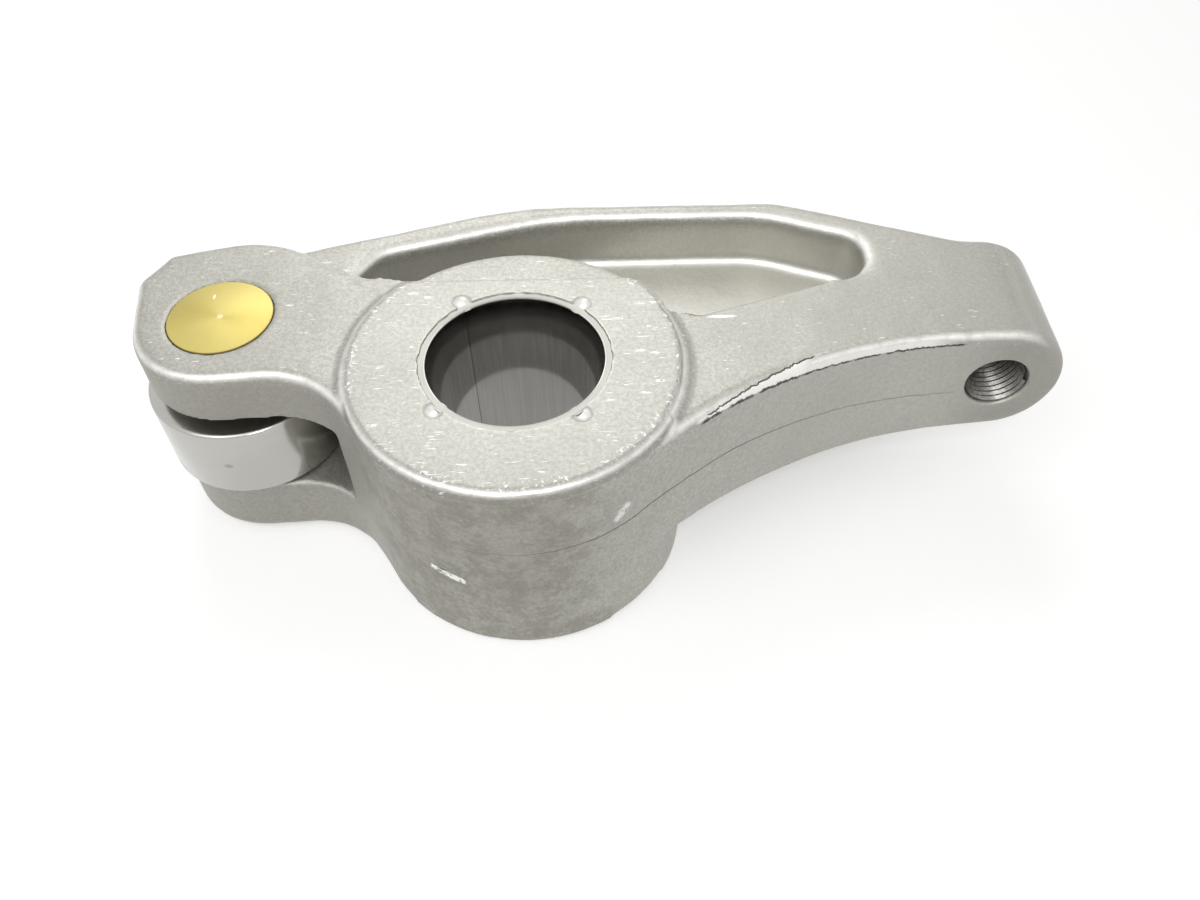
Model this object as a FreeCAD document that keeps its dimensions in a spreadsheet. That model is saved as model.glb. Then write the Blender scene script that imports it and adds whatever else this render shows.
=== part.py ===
import FreeCAD, Part
import math
import os
import re
import Sketcher

# Roller rocker arm of an overhead-camshaft diesel, in millimetres.
# Origin: on the shaft bore's axis, at half the hub's height. +Z runs along
# the bore, +X to the adjusting screw's boss, -Y to the cam and valve side.

# Driving dimensions. A word ending in Half is half a height, measured both
# ways from its middle plane. Radii of bends seen in plan end in Sweep.
SIZES = {
    # Hub, and the bush that is pressed and staked into it
    "hubHalf": 28.0,
    "hubRadius": 37.2,
    "hubBackFlat": 25.4,
    "faceRise": 2.0,
    "hubStepLip": 0.15,
    "hubStepTurn": 56.0,
    "boreRadius": 19.05,
    "bushWall": 1.5,
    "bushInset": 0.4,
    "bushChamfer": 0.4,
    "stakeCircle": 21.9,
    "stakeRadius": 2.6,
    "stakeDepth": 1.0,
    "stakeBackRight": 48.9,
    "stakeBackLeft": 54.4,
    "stakeFrontLeft": 43.1,
    "stakeFrontRight": 49.5,
    # Forging about its parting plane: arm and back rim
    "partingHeight": 8.0,
    "armEdge": 2.6,
    "armFootInset": 0.3,
    "armFootTurn": 50.5,
    "armBendGap": 43.7,
    "armSweep": 103.0,
    "bellyX": 47.6,
    "bellySweep": 150.0,
    "rimNeckGap": 3.8,
    "rimNeckSweep": 20.0,
    "rimShoulderX": 62.5,
    "rimShoulderSweep": 30.0,
    "rimCrownX": 1.3,
    "rimWall": 5.6,
    "rimCrownSweep": 84.0,
    "rimHeelX": 60.0,
    "rimHeelY": 37.6,
    "rimRootX": 40.0,
    "rimRootY": 10.0,
    # Pocket behind the hub, sunk alike from both faces
    "webHalf": 3.0,
    "pocketTipX": 38.2,
    "pocketTipY": 30.4,
    "pocketHubInset": 4.2,
    "pocketBackTurn": 52.7,
    "pocketMouthTurn": 29.8,
    "pocketHeelX": 33.2,
    "pocketHeelY": 38.3,
    "pocketHeelSweep": 5.0,
    "pocketCrownX": 7.0,
    "pocketCrownGap": 13.1,
    "pocketCrownSweep": 80.0,
    "pocketShoulderX": 58.2,
    "pocketShoulderSweep": 30.0,
    "pocketEndX": 80.6,
    "pocketEndY": 41.3,
    "pocketEndSweep": 6.5,
    "pocketCornerY": 32.0,
    "pocketCornerSweep": 4.0,
    "pocketFrontX": 77.0,
    "pocketFrontY": 27.2,
    "pocketInnerGap": 6.4,
    "pocketInnerTurn": 19.85,
    "pocketInnerSweep": 5.0,
    "pocketFloorFillet": 2.8,
    "rimInnerEdge": 2.2,
    # Boss for the adjusting screw, its top flush with the arm
    "bossX": 108.8,
    "bossTaper": 3.0,
    "bossFrontY": 5.7,
    "bossBackY": 39.5,
    "screwTapRadius": 6.19,
    "screwChamfer": 0.8,
    "seatRadius": 11.0,
    "seatDepth": 0.6,
    # Fork: corners of both ears, measured from the roller pin's axis
    "pinX": 66.6,
    "pinY": 15.8,
    "forkInset": 1.2,
    "earEdge": 2.4,
    "earFrontX": 16.4,
    "earFrontY": 20.7,
    "earFrontSweep": 20.4,
    "neckHubGap": 6.4,
    "earNeckY": 18.0,
    "earNeckSweep": 20.0,
    "earCrownX": 6.7,
    "earCrownY": 28.8,
    "earCrownSweep": 25.0,
    "earHeelX": 16.9,
    "earHeelY": 22.4,
    "earHeelSweep": 1.5,
    "earCheekX": 22.1,
    "earCheekY": 12.8,
    "earCheekSweep": 4.0,
    # Fork: where its neck runs into the hub
    "neckFootTurn": 34.9,
    "neckBackTurn": 37.8,
    # Roller, its pin and the slot it turns in
    "rollerRadius": 21.4,
    "rollerLength": 19.75,
    "rollerDrop": 9.8,
    "rollerEdge": 0.9,
    "rollerLowGap": 0.3,
    "rollerTopGap": 3.5,
    "slotEndGap": 3.1,
    "slotFlare": 60.0,
    "slotFrontTurn": 5.0,
    "pinRadius": 11.83,
    "pinRunningGap": 0.05,
    "pinChamfer": 0.3,
    "pinCentreRadius": 0.7,
}

CLOSE = 0.01  # two lengths nearer than this count as equal

doc = FreeCAD.newDocument("RockerArm")
sheet = doc.addObject("Spreadsheet::Sheet", "Sizes")
for row, (alias, value) in enumerate(SIZES.items(), start=1):
    sheet.set(f"A{row}", alias)
    sheet.set(f"B{row}", str(value))
    sheet.setAlias(f"B{row}", alias)
doc.recompute()


def bound(formula):
    """The formula with every size in it named as the sheet's."""
    return re.sub(r"[a-z]+[A-Z]\w*", r"Sizes.\g<0>", formula)


def value_of(formula):
    """What a formula over the sheet gives now."""
    return float(sheet.evalExpression(formula)) if formula else 0.0


def around_hub(radius, turn, x_sign="", y_sign="-"):
    """A corner's two formulas from a radius and a turn about the bore."""
    return f"{x_sign}({radius}) * cos({turn} * 1deg)", f"{y_sign}({radius}) * sin({turn} * 1deg)"


def new_body(label):
    body = doc.addObject("PartDesign::Body", label)
    body.Label = label
    return body


def new_sketch(body, name, role="XY_Plane", x="", y="", z=""):
    """A sketch on one of the body's own planes, shifted by formulas."""
    sketch = body.newObject("Sketcher::SketchObject", name)
    plane = next(feature for feature in body.Origin.OriginFeatures if feature.Role == role)
    sketch.AttachmentSupport = [(plane, "")]
    sketch.MapMode = "FlatFace"
    for axis, text in (("x", x), ("y", y), ("z", z)):
        if text:
            sketch.setExpression(f"AttachmentOffset.Base.{axis}", bound(text))
    return sketch


def name_constraint(sketch, name, constraint, text):
    index = sketch.addConstraint(constraint)
    sketch.renameConstraint(index, name)
    sketch.setExpression(f"Constraints.{name}", bound(text))


def hold_point(sketch, geometry, point, name, x, y):
    """Ties a point to two formulas, measured from the sketch's origin."""
    for kind, text in (("DistanceX", x), ("DistanceY", y)):
        constraint = Sketcher.Constraint(kind, -1, 1, geometry, point, value_of(text))
        name_constraint(sketch, name + kind[-1], constraint, text)


def polygon(sketch, corners):
    """A closed outline of straight runs through named corners."""
    first = sketch.GeometryCount
    points = [FreeCAD.Vector(value_of(x), value_of(y), 0) for name, x, y in corners]
    for start, end in zip(points, points[1:] + points[:1]):
        sketch.addGeometry(Part.LineSegment(start, end), False)
    for index, (name, x, y) in enumerate(corners):
        before = first + (index - 1) % len(corners)
        sketch.addConstraint(Sketcher.Constraint("Coincident", before, 2, first + index, 1))
        hold_point(sketch, first + index, 1, name, x, y)


def circle(sketch, radius):
    """A circle about the sketch's own origin."""
    shape = Part.Circle(FreeCAD.Vector(), FreeCAD.Vector(0, 0, 1), value_of(radius))
    sketch.addGeometry(shape, False)
    sketch.addConstraint(Sketcher.Constraint("Coincident", 0, 3, -1, 1))
    name_constraint(sketch, "radius", Sketcher.Constraint("Radius", 0, value_of(radius)), radius)


def pad(body, sketch, name, up, down=""):
    """Material above the sketch, and below it where that is given."""
    feature = body.newObject("PartDesign::Pad", name)
    feature.Profile = sketch
    feature.setExpression("Length", bound(up))
    if down:
        feature.SideType = "Two sides"
        feature.setExpression("Length2", bound(down))
    doc.recompute()
    return feature


def cut_checked(feature):
    """A cut that turned out to take nothing away went the wrong way."""
    doc.recompute()
    if feature.Shape.Volume > feature.BaseFeature.Shape.Volume - CLOSE:
        raise ValueError(f"{feature.Name} cuts nothing")
    return feature


def pocket(body, sketch, name, depth="", upward=False):
    """A cut away from the sketch to a depth, or both ways through all."""
    feature = body.newObject("PartDesign::Pocket", name)
    feature.Profile = sketch
    feature.Reversed = upward
    if depth:
        feature.setExpression("Length", bound(depth))
    else:
        feature.SideType = "Two sides"
        feature.Type = "ThroughAll"
        feature.Type2 = "ThroughAll"
    return cut_checked(feature)


def middle(edge):
    return edge.valueAt((edge.FirstParameter + edge.LastParameter) / 2)


def level_at(edge, height):
    return all(abs(vertex.Z - height) < CLOSE for vertex in edge.Vertexes)


def round_at(radius, x="", y=""):
    """Passes whole circles of a radius about an upright axis."""
    axis_x, axis_y, wanted = value_of(x), value_of(y), value_of(radius)

    def test(edge):
        off_axis = math.hypot(middle(edge).x - axis_x, middle(edge).y - axis_y)
        return edge.Closed and abs(off_axis - wanted) < CLOSE
    return test


def upright_at(x, y):
    """Passes the upright edge over one corner of a plan."""
    def test(edge):
        ends = [vertex.Point for vertex in edge.Vertexes]
        return len(ends) == 2 and all(math.hypot(end.x - x, end.y - y) < CLOSE for end in ends)
    return test


def soften(body, name, radius, test, kind="Fillet"):
    """Rounds or chamfers those edges of the body that pass a test."""
    base = body.Tip
    found = [f"Edge{i}" for i, edge in enumerate(base.Shape.Edges, start=1) if test(edge)]
    if not found:
        raise ValueError(f"{name} finds no edge")
    feature = body.newObject(f"PartDesign::{kind}", name)
    feature.Base = (base, found)
    feature.setExpression("Radius" if kind == "Fillet" else "Size", bound(radius))
    doc.recompute()
    return feature


def sweep_corners(body, corners, x="", y=""):
    """Rounds a prism's upright edges where a corner names its radius."""
    for name, corner_x, corner_y, radius in corners:
        if radius:
            test = upright_at(value_of(x) + value_of(corner_x), value_of(y) + value_of(corner_y))
            soften(body, f"{name}Bend", radius, test)


def plan(corners):
    return [(name, x, y) for name, x, y, radius in corners]


# Heights that follow from others: the arm's faces lie alike about its parting plane
ARM_TOP = "hubHalf - faceRise"
ARM_HALF = f"{ARM_TOP} - partingHeight"
ARM_BOTTOM = f"partingHeight - ({ARM_HALF})"
STEP_RISE = "faceRise - hubStepLip"
FORK_HALF = "hubHalf - forkInset"
HUB_FOOT = "hubRadius - armFootInset"
BOSS_RADIUS = f"({ARM_HALF} - bossTaper)"
BOSS_HEIGHT = f"{ARM_TOP} - {BOSS_RADIUS}"
NOSE_END = f"bossX + {BOSS_RADIUS}"

# Hub: a drum as high as the arm's top, and a raised face cut flat behind
hub = new_body("hub_form")
drum_outline = new_sketch(hub, "drumOutline")
circle(drum_outline, "hubRadius")
pad(hub, drum_outline, "drum", ARM_TOP, "hubHalf")
soften(hub, "drumEdge", STEP_RISE, lambda edge: edge.Closed)

face_outline = new_sketch(hub, "raisedFaceOutline", z="partingHeight")
flat_end = math.asin(value_of("hubBackFlat") / value_of("hubRadius"))
rim_circle = Part.Circle(FreeCAD.Vector(), FreeCAD.Vector(0, 0, 1), value_of("hubRadius"))
face_outline.addGeometry(Part.ArcOfCircle(rim_circle, math.pi - flat_end, 2 * math.pi + flat_end), False)
arc_ends = [face_outline.getPoint(0, point) for point in (2, 1)]
face_outline.addGeometry(Part.LineSegment(*arc_ends), False)
for constraint in (
    Sketcher.Constraint("Coincident", 0, 3, -1, 1),
    Sketcher.Constraint("Coincident", 0, 2, 1, 1),
    Sketcher.Constraint("Coincident", 1, 2, 0, 1),
    Sketcher.Constraint("Horizontal", 1),
):
    face_outline.addConstraint(constraint)
name_constraint(face_outline, "radius", Sketcher.Constraint("Radius", 0, value_of("hubRadius")), "hubRadius")
name_constraint(face_outline, "flat", Sketcher.Constraint("DistanceY", -1, 1, 1, 1, value_of("hubBackFlat")),
                "hubBackFlat")
pad(hub, face_outline, "raisedFace", "hubHalf - partingHeight")
face_height = value_of("hubHalf")
soften(hub, "raisedFaceEdge", STEP_RISE,
       lambda edge: level_at(edge, face_height) and "Circle" in edge.Curve.TypeId)

# Towards the arm the raised face ends in a crisp edge with a hollow foot
step_outline = new_sketch(hub, "stepHollow", role="XZ_Plane")
step_low = f"{ARM_TOP} + hubStepLip"
outer, top_z, low_z = value_of("hubRadius"), value_of("hubHalf"), value_of(step_low)
step_circle = Part.Circle(FreeCAD.Vector(outer, top_z, 0), FreeCAD.Vector(0, 0, 1), top_z - low_z)
step_outline.addGeometry(Part.ArcOfCircle(step_circle, math.pi, 1.5 * math.pi), False)
step_corner = FreeCAD.Vector(outer, top_z, 0)
step_outline.addGeometry(Part.LineSegment(step_outline.getPoint(0, 2), step_corner), False)
step_outline.addGeometry(Part.LineSegment(step_corner, step_outline.getPoint(0, 1)), False)
for constraint in (
    Sketcher.Constraint("Coincident", 0, 2, 1, 1),
    Sketcher.Constraint("Coincident", 1, 2, 2, 1),
    Sketcher.Constraint("Coincident", 2, 2, 0, 1),
    Sketcher.Constraint("Coincident", 0, 3, 1, 2),
    Sketcher.Constraint("Vertical", 1),
    Sketcher.Constraint("Horizontal", 2),
):
    step_outline.addConstraint(constraint)
hold_point(step_outline, 1, 2, "corner", "hubRadius", "hubHalf")
name_constraint(step_outline, "low", Sketcher.Constraint("DistanceY", -1, 1, 1, 1, low_z), step_low)
step = hub.newObject("PartDesign::Groove", "armStep")
step.Profile = step_outline
step.ReferenceAxis = (next(f for f in hub.Origin.OriginFeatures if f.Role == "Z_Axis"), [""])
step.Midplane = True
step.setExpression("Angle", "Sizes.hubStepTurn")
cut_checked(step)

# Arm and back rim: a plan outline, then a side outline, then the pockets
POCKET_CROWN = "hubRadius + pocketCrownGap"
RIM_CROWN = f"{POCKET_CROWN} + rimWall"
ARM_PLAN = [
    ("foot", *around_hub(HUB_FOOT, "armFootTurn"), ""),
    ("bend", "bossX - armBendGap", "bossFrontY", "armSweep"),
    ("noseFront", NOSE_END, "bossFrontY", ""),
    ("noseBack", NOSE_END, "bossBackY", ""),
    ("neck", "bossX - rimNeckGap", "bossBackY", "rimNeckSweep"),
    ("shoulder", "rimShoulderX", RIM_CROWN, "rimShoulderSweep"),
    ("crown", "-rimCrownX", RIM_CROWN, "rimCrownSweep"),
    ("heel", "-rimHeelX", "rimHeelY", ""),
    ("root", "-rimRootX", "rimRootY", ""),
]
arm = new_body("arm_form")
arm_outline = new_sketch(arm, "armOutline", z="partingHeight")
polygon(arm_outline, plan(ARM_PLAN))
pad(arm, arm_outline, "armBlank", f"{ARM_HALF} + armEdge", f"{ARM_HALF} + armEdge")
sweep_corners(arm, ARM_PLAN)

side_outline = new_sketch(arm, "armSide", role="XZ_Plane")
polygon(side_outline, [
    ("outerLowLeft", "-rimHeelX - armSweep", "-hubHalf - armSweep"),
    ("outerLowRight", "bossX + armSweep", "-hubHalf - armSweep"),
    ("outerHighRight", "bossX + armSweep", "hubHalf + armSweep"),
    ("outerHighLeft", "-rimHeelX - armSweep", "hubHalf + armSweep"),
])
belly_radius, boss_radius = value_of("bellySweep"), value_of(BOSS_RADIUS)
boss_centre = FreeCAD.Vector(value_of("bossX"), value_of(BOSS_HEIGHT), 0)
belly = FreeCAD.Vector(value_of("bellyX"), value_of(ARM_BOTTOM), 0)
belly_centre = belly + FreeCAD.Vector(0, belly_radius, 0)
reach = boss_centre - belly_centre
turn = math.atan2(reach.y, reach.x) - math.acos((belly_radius - boss_radius) / reach.Length)
upright = FreeCAD.Vector(0, 0, 1)
arcs = [
    Part.ArcOfCircle(Part.Circle(boss_centre, upright, boss_radius), turn, math.pi / 2),
    Part.ArcOfCircle(Part.Circle(belly_centre, upright, belly_radius), -math.pi / 2, turn),
]
nose, under = (side_outline.addGeometry(arc, False) for arc in arcs)
back_top = FreeCAD.Vector(value_of("-rimHeelX - armEdge"), value_of(ARM_TOP), 0)
back_low = FreeCAD.Vector(back_top.x, belly.y, 0)
profile = [(arcs[0].EndPoint, back_top), (back_top, back_low), (back_low, belly),
           (arcs[1].EndPoint, arcs[0].StartPoint)]
top_line, end_line, low_line, taper = (
    side_outline.addGeometry(Part.LineSegment(*ends), False) for ends in profile)
for constraint in (
    Sketcher.Constraint("Tangent", nose, 2, top_line, 1),
    Sketcher.Constraint("Coincident", top_line, 2, end_line, 1),
    Sketcher.Constraint("Coincident", end_line, 2, low_line, 1),
    Sketcher.Constraint("Tangent", low_line, 2, under, 1),
    Sketcher.Constraint("Tangent", under, 2, taper, 1),
    Sketcher.Constraint("Tangent", taper, 2, nose, 1),
):
    side_outline.addConstraint(constraint)
name_constraint(side_outline, "noseRadius", Sketcher.Constraint("Radius", nose, boss_radius), BOSS_RADIUS)
name_constraint(side_outline, "underRadius", Sketcher.Constraint("Radius", under, belly_radius), "bellySweep")
hold_point(side_outline, nose, 3, "noseCentre", "bossX", BOSS_HEIGHT)
hold_point(side_outline, end_line, 2, "backLow", "-rimHeelX - armEdge", ARM_BOTTOM)
name_constraint(side_outline, "bellyStart",
                Sketcher.Constraint("DistanceX", -1, 1, low_line, 2, belly.x), "bellyX")
name_constraint(side_outline, "backTop",
                Sketcher.Constraint("DistanceX", -1, 1, end_line, 1, back_top.x), "-rimHeelX - armEdge")
pocket(arm, side_outline, "armSideCut")


def runs_across(edge):
    """Straight along Y, as where the boss's round end meets a flat."""
    start, end = edge.Vertexes[0].Point, edge.Vertexes[-1].Point
    return math.hypot(start.x - end.x, start.z - end.z) < CLOSE


def runs_upright(edge):
    start, end = edge.Vertexes[0].Point, edge.Vertexes[-1].Point
    return math.hypot(start.x - end.x, start.y - end.y) < CLOSE and not edge.Closed


pin_x, pin_y = value_of("pinX"), value_of("pinY")
bore_radius, roller_radius = value_of("boreRadius"), value_of("rollerRadius")


def bored_away(point):
    """Inside the shaft bore, or in the slot beside the roller's pin."""
    from_pin = math.hypot(point.x + pin_x, point.y - pin_y)
    return math.hypot(point.x, point.y) < bore_radius or from_pin < roller_radius


soften(arm, "armOuterEdge", "armEdge",
       lambda edge: not (runs_across(edge) or runs_upright(edge) or bored_away(middle(edge))))

POCKET_MARGIN = 1.0  # how far around the pocket's outline its wall edges are looked for
POCKET_PLAN = [
    ("tip", "-pocketTipX", "pocketTipY", ""),
    ("back", *around_hub("hubRadius - pocketHubInset", "pocketBackTurn", "-", ""), ""),
    ("mouth", *around_hub("hubRadius - pocketHubInset", "pocketMouthTurn", "", ""), ""),
    ("inner", *around_hub("hubRadius + pocketInnerGap", "pocketInnerTurn", "", ""), "pocketInnerSweep"),
    ("front", "pocketFrontX", "pocketFrontY", ""),
    ("corner", "pocketEndX", "pocketCornerY", "pocketCornerSweep"),
    ("end", "pocketEndX", "pocketEndY", "pocketEndSweep"),
    ("shoulder", "pocketShoulderX", POCKET_CROWN, "pocketShoulderSweep"),
    ("crown", "pocketCrownX", POCKET_CROWN, "pocketCrownSweep"),
    ("heel", "-pocketHeelX", "pocketHeelY", "pocketHeelSweep"),
]
for side, web_face, upward in (("upper", "partingHeight + webHalf", True),
                               ("lower", "partingHeight - webHalf", False)):
    outline = new_sketch(arm, f"{side}Pocket", z=web_face)
    polygon(outline, plan(POCKET_PLAN))
    pocket(arm, outline, f"{side}PocketCut", ARM_HALF, upward)
sweep_corners(arm, POCKET_PLAN)
web_middle, web_half = value_of("partingHeight"), value_of("webHalf")
web_height, hub_radius = value_of(web_face), value_of("hubRadius")
tip_y, front_y = value_of("pocketTipY"), value_of("pocketFrontY")
pocket_area = Part.Face(outline.Shape).makeOffset2D(POCKET_MARGIN)


def on_pocket_wall(edge):
    """An edge of the pocket's walls, clear of what the hub covers."""
    point = middle(edge)
    flat = FreeCAD.Vector(point.x, point.y, web_height)
    beside_hub = math.hypot(point.x, point.y) > hub_radius - POCKET_MARGIN
    return beside_hub and not runs_upright(edge) and pocket_area.isInside(flat, CLOSE, True)


def along_rim(edge):
    """The back wall, both tight ends included."""
    point = middle(edge)
    return point.y > (tip_y if point.x < 0 else front_y)


soften(arm, "pocketFloorBend", "pocketFloorFillet",
       lambda edge: on_pocket_wall(edge) and abs(middle(edge).z - web_middle) < web_half + CLOSE)
wall_foot = value_of("webHalf + pocketFloorFillet") + CLOSE
soften(arm, "rimInnerBend", "rimInnerEdge",
       lambda edge: on_pocket_wall(edge) and along_rim(edge) and abs(middle(edge).z - web_middle) > wall_foot)

# Fork: both ears as one block, drawn from the roller pin's axis
foot_x, foot_y = around_hub(HUB_FOOT, "neckFootTurn", "", "")
back_x, back_y = around_hub("hubRadius - pocketHubInset", "neckBackTurn", "", "")
FORK_PLAN = [
    ("front", "-earFrontX", "-earFrontY", "earFrontSweep"),
    ("neck", "pinX - hubRadius - neckHubGap", "-earNeckY", "earNeckSweep"),
    ("neckFoot", f"pinX - {foot_x}", f"-pinY - {foot_y}", ""),
    ("neckBack", f"pinX - {back_x}", f"{back_y} - pinY", ""),
    ("crown", "earCrownX", "earCrownY", "earCrownSweep"),
    ("heel", "-earHeelX", "earHeelY", "earHeelSweep"),
    ("cheek", "-earCheekX", "earCheekY", "earCheekSweep"),
]
fork = new_body("fork_form")
fork_outline = new_sketch(fork, "forkOutline", x="-pinX", y="pinY")
polygon(fork_outline, plan(FORK_PLAN))
pad(fork, fork_outline, "forkBlock", FORK_HALF, FORK_HALF)
sweep_corners(fork, FORK_PLAN, x="-pinX", y="pinY")
soften(fork, "forkOuterEdge", "earEdge", lambda edge: not runs_upright(edge))

# Rocker body: the three forms as one forging, then what is machined in it
rocker = new_body("rocker_body")
forging = rocker.newObject("PartDesign::Boolean", "forging")
forging.setObjects([hub, arm, fork])
forging.Type = "Fuse"
doc.recompute()
web_heights = [value_of("partingHeight + webHalf"), value_of("partingHeight - webHalf")]
soften(rocker, "hubPocketBend", "pocketFloorFillet",
       lambda edge: abs(math.hypot(middle(edge).x, middle(edge).y) - hub_radius) < CLOSE
       and any(level_at(edge, height) for height in web_heights))

bore = new_sketch(rocker, "bushSeat")
circle(bore, "boreRadius + bushWall")
pocket(rocker, bore, "bushSeatBore")

# The slot ends in an arc about the pin, flares open at the back and runs close by the hub in front
slot_back = "earCheekX + slotEndGap"
slot_end = "rollerRadius + slotEndGap"
slot_front = "rollerRadius + 2 * slotEndGap"
slot = new_sketch(rocker, "rollerSlot", x="-pinX", y="pinY", z="-rollerDrop - rollerLowGap")
slot_radius, reach, front_reach = (value_of(formula) for formula in (slot_end, slot_back, slot_front))
flare, front_turn = (math.radians(sheet.get(name)) for name in ("slotFlare", "slotFrontTurn"))
slot_circle = Part.Circle(FreeCAD.Vector(), FreeCAD.Vector(0, 0, 1), slot_radius)
slot.addGeometry(Part.ArcOfCircle(slot_circle, front_turn, flare), False)
rise = (slot_radius + reach * math.cos(flare)) / math.sin(flare)
front_x = (slot_radius + front_reach * math.sin(front_turn)) / math.cos(front_turn)
corners = [slot.getPoint(0, 2), FreeCAD.Vector(-reach, rise, 0), FreeCAD.Vector(-reach, -front_reach, 0),
           FreeCAD.Vector(front_x, -front_reach, 0), slot.getPoint(0, 1)]
for start, end in zip(corners, corners[1:]):
    slot.addGeometry(Part.LineSegment(start, end), False)
for constraint in (
    Sketcher.Constraint("Coincident", 0, 3, -1, 1),
    Sketcher.Constraint("Tangent", 0, 2, 1, 1),
    Sketcher.Constraint("Coincident", 1, 2, 2, 1),
    Sketcher.Constraint("Coincident", 2, 2, 3, 1),
    Sketcher.Constraint("Coincident", 3, 2, 4, 1),
    Sketcher.Constraint("Tangent", 4, 2, 0, 1),
    Sketcher.Constraint("Vertical", 2),
    Sketcher.Constraint("Horizontal", 3),
):
    slot.addConstraint(constraint)
name_constraint(slot, "endRadius", Sketcher.Constraint("Radius", 0, slot_radius), slot_end)
name_constraint(slot, "backReach", Sketcher.Constraint("DistanceX", 2, 1, -1, 1, reach), slot_back)
name_constraint(slot, "frontReach", Sketcher.Constraint("DistanceY", 3, 1, -1, 1, front_reach), slot_front)
for line, end, name, turn in ((1, 1, "slotFlare", flare), (4, 1, "slotFrontTurn", front_turn)):
    index = slot.addConstraint(Sketcher.Constraint("Angle", -1, 1, line, end, turn + math.pi / 2))
    slot.renameConstraint(index, name)
    slot.setExpression(f"Constraints.{name}", f"Sizes.{name} + 90")
pocket(rocker, slot, "rollerSlotCut", "rollerLowGap + rollerLength + rollerTopGap", upward=True)

pin_hole = new_sketch(rocker, "pinHole", x="-pinX", y="pinY")
circle(pin_hole, "pinRadius")
pocket(rocker, pin_hole, "pinBore")

seat = new_sketch(rocker, "nutSeat", role="XZ_Plane", x="bossX", y=BOSS_HEIGHT, z="seatDepth - bossBackY")
circle(seat, "seatRadius")
pocket(rocker, seat, "nutSeatFacing", BOSS_RADIUS)

screw_hole = new_sketch(rocker, "screwHole", role="XZ_Plane", x="bossX", y=BOSS_HEIGHT)
circle(screw_hole, "screwTapRadius")
pocket(rocker, screw_hole, "screwBore")
boss_faces = [value_of("bossFrontY"), value_of("bossBackY - seatDepth")]
tap_radius = value_of("screwTapRadius")


def screw_mouth(edge):
    """The two ends of the screw hole, in the boss's faces."""
    off_axis = math.hypot(middle(edge).x - boss_centre.x, middle(edge).z - boss_centre.y)
    in_face = min(abs(middle(edge).y - face) for face in boss_faces) < CLOSE
    return edge.Closed and in_face and abs(off_axis - tap_radius) < CLOSE


soften(rocker, "screwMouth", "screwChamfer", screw_mouth, kind="Chamfer")

# Stake marks: four ball punches over the bush's end, struck by hand at uneven turns
STAKE_MARKS = [
    ("stakeBackRight", "", ""),
    ("stakeBackLeft", "-", ""),
    ("stakeFrontLeft", "-", "-"),
    ("stakeFrontRight", "", "-"),
]
for turn_name, x_sign, y_sign in STAKE_MARKS:
    punch = rocker.newObject("PartDesign::SubtractiveSphere", f"{turn_name}Mark")
    punch.setExpression("Radius", "Sizes.stakeRadius")
    punch.AttachmentSupport = [(next(f for f in rocker.Origin.OriginFeatures if f.Role == "XY_Plane"), "")]
    punch.MapMode = "FlatFace"
    place = (*around_hub("stakeCircle", turn_name, x_sign, y_sign), "hubHalf + stakeRadius - stakeDepth")
    for axis, formula in zip("xyz", place):
        punch.setExpression(f"AttachmentOffset.Base.{axis}", bound(formula))
    cut_checked(punch)


def turned_piece(label, radius, low, high, hole="", **place):
    """A drum or ring about an upright axis, between two heights."""
    body = new_body(label)
    outline = new_sketch(body, f"{label}Outline", z=low, **place)
    circle(outline, radius)
    pad(body, outline, f"{label}Blank", f"{high} - ({low})")
    if hole:
        inner = new_sketch(body, f"{label}Hole", z=low, **place)
        circle(inner, hole)
        pocket(body, inner, f"{label}Bore")
    return body


# Bush: pressed into the hub, both ends a little below the hub's faces
bush = turned_piece("shaft_bush", "boreRadius + bushWall", "bushInset - hubHalf", "hubHalf - bushInset",
                    hole="boreRadius")
soften(bush, "bushMouth", "bushChamfer", round_at("boreRadius"), kind="Chamfer")

# Pin: pressed through both ears, flush with them, centre-drilled at its ends
pin = turned_piece("roller_pin", "pinRadius", f"-({FORK_HALF})", FORK_HALF, x="-pinX", y="pinY")
soften(pin, "pinEnds", "pinChamfer", round_at("pinRadius", "-pinX", "pinY"), kind="Chamfer")
for end, height, upward in (("upper", f"{FORK_HALF} - pinCentreRadius", True),
                            ("lower", f"pinCentreRadius - ({FORK_HALF})", False)):
    centre = new_sketch(pin, f"{end}Centre", x="-pinX", y="pinY", z=height)
    circle(centre, "pinCentreRadius")
    pocket(pin, centre, f"{end}CentreDrill", "pinCentreRadius", upward)

# Roller: turns on the pin, close over the lower ear as it lies at rest
roller = turned_piece("cam_roller", "rollerRadius", "-rollerDrop", "rollerLength - rollerDrop",
                      hole="pinRadius + pinRunningGap", x="-pinX", y="pinY")
soften(roller, "rollerRim", "rollerEdge", round_at("rollerRadius", "-pinX", "pinY"))

doc.recompute()
for item in doc.Objects:
    if "Invalid" in item.State or "Error" in item.State:
        raise ValueError(f"{item.Name} failed: {item.State}")
PIECES = (rocker, bush, pin, roller)
for piece in PIECES:
    if piece.Shape.isNull() or not piece.Shape.isValid() or len(piece.Shape.Solids) != 1:
        raise ValueError(f"{piece.Label} is not one sound solid")
os.makedirs("parts", exist_ok=True)
for piece in PIECES:
    piece.Shape.exportStep(f"parts/{piece.Label}.step")
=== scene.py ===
import bpy
import math
from mathutils import Matrix, Vector, noise


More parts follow.
